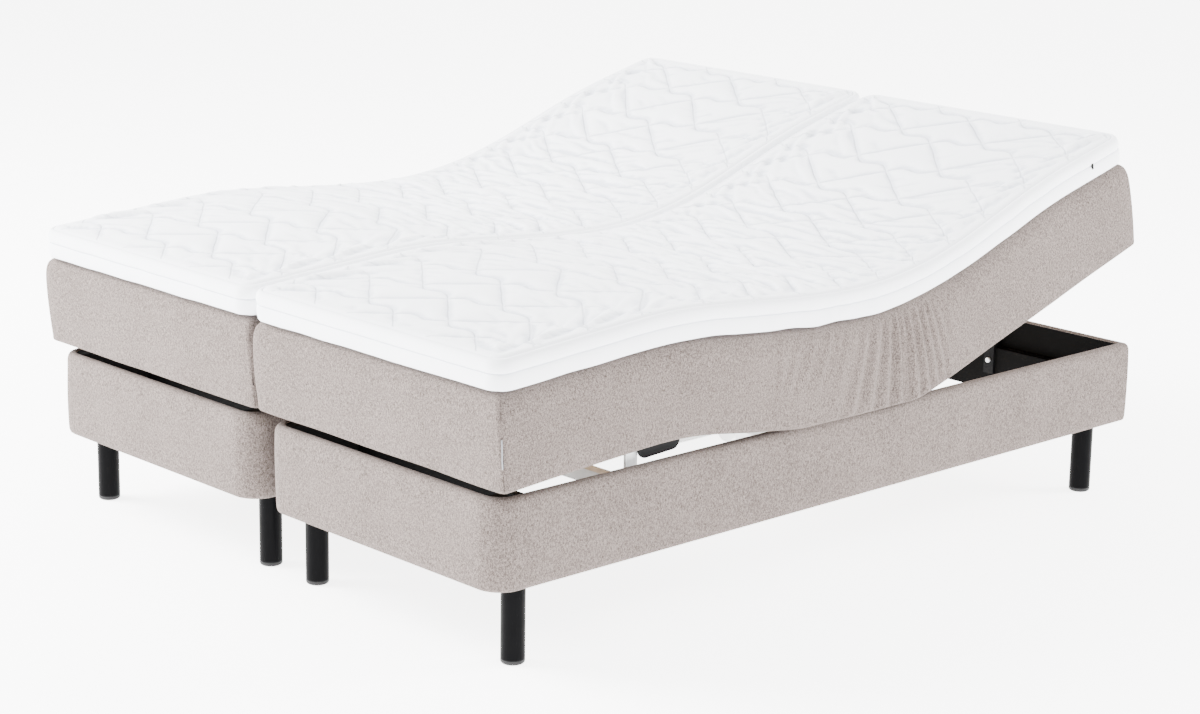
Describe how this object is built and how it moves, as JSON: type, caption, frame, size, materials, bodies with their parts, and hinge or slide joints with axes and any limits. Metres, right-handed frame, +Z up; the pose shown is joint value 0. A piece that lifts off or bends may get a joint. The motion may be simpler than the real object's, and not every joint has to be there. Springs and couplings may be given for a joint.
{
  "type": "adjustable bed base",
  "caption": "Motorised adjustable bed of two side-by-side units: upholstered bases on round legs, hinged frames, sectioned mattresses and quilted toppers.",
  "frame": {"origin": "on the floor under the middle of the bed", "axes": "+X across to the right-hand unit, +Y towards the head end, +Z up"},
  "size_m": [1.598, 2.0173, 0.8738],
  "materials": {
    "upholstery": "soft chenille weave",
    "topper_fabric": "quilted knitted ticking",
    "black_wood": "black satin lacquer",
    "board_wood": "dark stained, sawn",
    "slat_wood": "laminated beech, satin",
    "black_steel": "fine-textured powder coat",
    "steel": "zinc plated",
    "black_plastic": "moulded, matt",
    "white_plastic": "nylon"
  },
  "bodies": {
    "base": {"legs": "black_wood", "leg_glides": "black_plastic", "leg_studs": "steel", "leg_blocks": "board_wood", "corner_posts": "board_wood", "side_boards": "board_wood", "foot_boards": "board_wood", "head_boards": "board_wood", "cross_battens": "board_wood", "centre_brackets": "black_steel", "bracket_bolts": "steel", "bearers": "steel", "bearer_bolts": "steel", "drive_housings": "white_plastic", "drive_motors": "white_plastic", "drive_spindles": "steel", "control_boxes": "white_plastic", "seat_hinge_bolts": "steel", "seat_frames": "black_steel", "seat_slats": "slat_wood", "joining_plates": "steel", "base_cover_left": "upholstery", "seat_mattress_left": "upholstery", "seat_topper_left": "topper_fabric", "base_cover_right": "upholstery", "seat_mattress_right": "upholstery", "seat_topper_right": "topper_fabric"},
    "back_left": {"back_frame_left": "black_steel", "back_slats_left": "slat_wood", "back_mattress_left": "upholstery", "back_topper_left": "topper_fabric"},
    "thigh_left": {"thigh_frame_left": "black_steel", "thigh_slats_left": "slat_wood", "thigh_mattress_left": "upholstery", "thigh_topper_left": "topper_fabric", "knee_bolts_left": "steel"},
    "calf_left": {"calf_frame_left": "black_steel", "calf_slats_left": "slat_wood", "calf_mattress_left": "upholstery", "calf_topper_left": "topper_fabric"},
    "head_slider_left": {"head_slider_left": "white_plastic"},
    "foot_slider_left": {"foot_slider_left": "white_plastic"},
    "calf_stays_left": {"calf_stays_left": "steel"},
    "back_right": {"back_frame_right": "black_steel", "back_slats_right": "slat_wood", "back_mattress_right": "upholstery", "back_topper_right": "topper_fabric"},
    "thigh_right": {"thigh_frame_right": "black_steel", "thigh_slats_right": "slat_wood", "thigh_mattress_right": "upholstery", "thigh_topper_right": "topper_fabric", "knee_bolts_right": "steel"},
    "calf_right": {"calf_frame_right": "black_steel", "calf_slats_right": "slat_wood", "calf_mattress_right": "upholstery", "calf_topper_right": "topper_fabric", "foot_catch_right": "steel"},
    "head_slider_right": {"head_slider_right": "white_plastic"},
    "foot_slider_right": {"foot_slider_right": "white_plastic"},
    "calf_stays_right": {"calf_stays_right": "steel"}
  },
  "joints": [
    {"name": "back_lift_left", "type": "hinge", "parent": "base", "child": "back_left", "pos_m": [-0.4, 0.204, 0.4], "axis": [1, 0, 0], "range_deg": [-18.5, 41.5]},
    {"name": "thigh_lift_left", "type": "hinge", "parent": "base", "child": "thigh_left", "pos_m": [-0.4, -0.164, 0.4], "axis": [-1, 0, 0], "range_deg": [-7.3, 22.7]},
    {"name": "knee_left", "type": "hinge", "parent": "thigh_left", "child": "calf_left", "pos_m": [-0.4, -0.51414, 0.44485], "axis": [1, 0, 0], "range_deg": [-10.44, 32.46]},
    {"name": "stay_swing_left", "type": "hinge", "parent": "base", "child": "calf_stays_left", "pos_m": [-0.4, -0.605, 0.4], "axis": [-1, 0, 0], "range_deg": [-11.83, 36.77]},
    {"name": "head_slide_left", "type": "slide", "parent": "base", "child": "head_slider_left", "axis": [0, 1, 0], "range_m": [-0.03392, 0.07609]},
    {"name": "foot_slide_left", "type": "slide", "parent": "base", "child": "foot_slider_left", "axis": [0, -1, 0], "range_m": [-0.01386, 0.04309]},
    {"name": "back_lift_right", "type": "hinge", "parent": "base", "child": "back_right", "pos_m": [0.4, 0.204, 0.4], "axis": [1, 0, 0], "range_deg": [-18.5, 41.5]},
    {"name": "thigh_lift_right", "type": "hinge", "parent": "base", "child": "thigh_right", "pos_m": [0.4, -0.164, 0.4], "axis": [-1, 0, 0], "range_deg": [-7.3, 22.7]},
    {"name": "knee_right", "type": "hinge", "parent": "thigh_right", "child": "calf_right", "pos_m": [0.4, -0.51414, 0.44485], "axis": [1, 0, 0], "range_deg": [-10.44, 32.46]},
    {"name": "stay_swing_right", "type": "hinge", "parent": "base", "child": "calf_stays_right", "pos_m": [0.4, -0.605, 0.4], "axis": [-1, 0, 0], "range_deg": [-11.83, 36.77]},
    {"name": "head_slide_right", "type": "slide", "parent": "base", "child": "head_slider_right", "axis": [0, 1, 0], "range_m": [-0.03392, 0.07609]},
    {"name": "foot_slide_right", "type": "slide", "parent": "base", "child": "foot_slider_right", "axis": [0, -1, 0], "range_m": [-0.01386, 0.04309]}
  ],
  "couplings": [
    {"joint": "knee_left", "follows": "thigh_lift_left", "ratio": 1.43},
    {"joint": "stay_swing_left", "follows": "thigh_lift_left", "ratio": 1.62},
    {"joint": "head_slide_left", "follows": "back_lift_left", "m_per_rad": 0.10504},
    {"joint": "foot_slide_left", "follows": "thigh_lift_left", "m_per_rad": 0.10875},
    {"joint": "knee_right", "follows": "thigh_lift_right", "ratio": 1.43},
    {"joint": "stay_swing_right", "follows": "thigh_lift_right", "ratio": 1.62},
    {"joint": "head_slide_right", "follows": "back_lift_right", "m_per_rad": 0.10504},
    {"joint": "foot_slide_right", "follows": "thigh_lift_right", "m_per_rad": 0.10875}
  ]
}
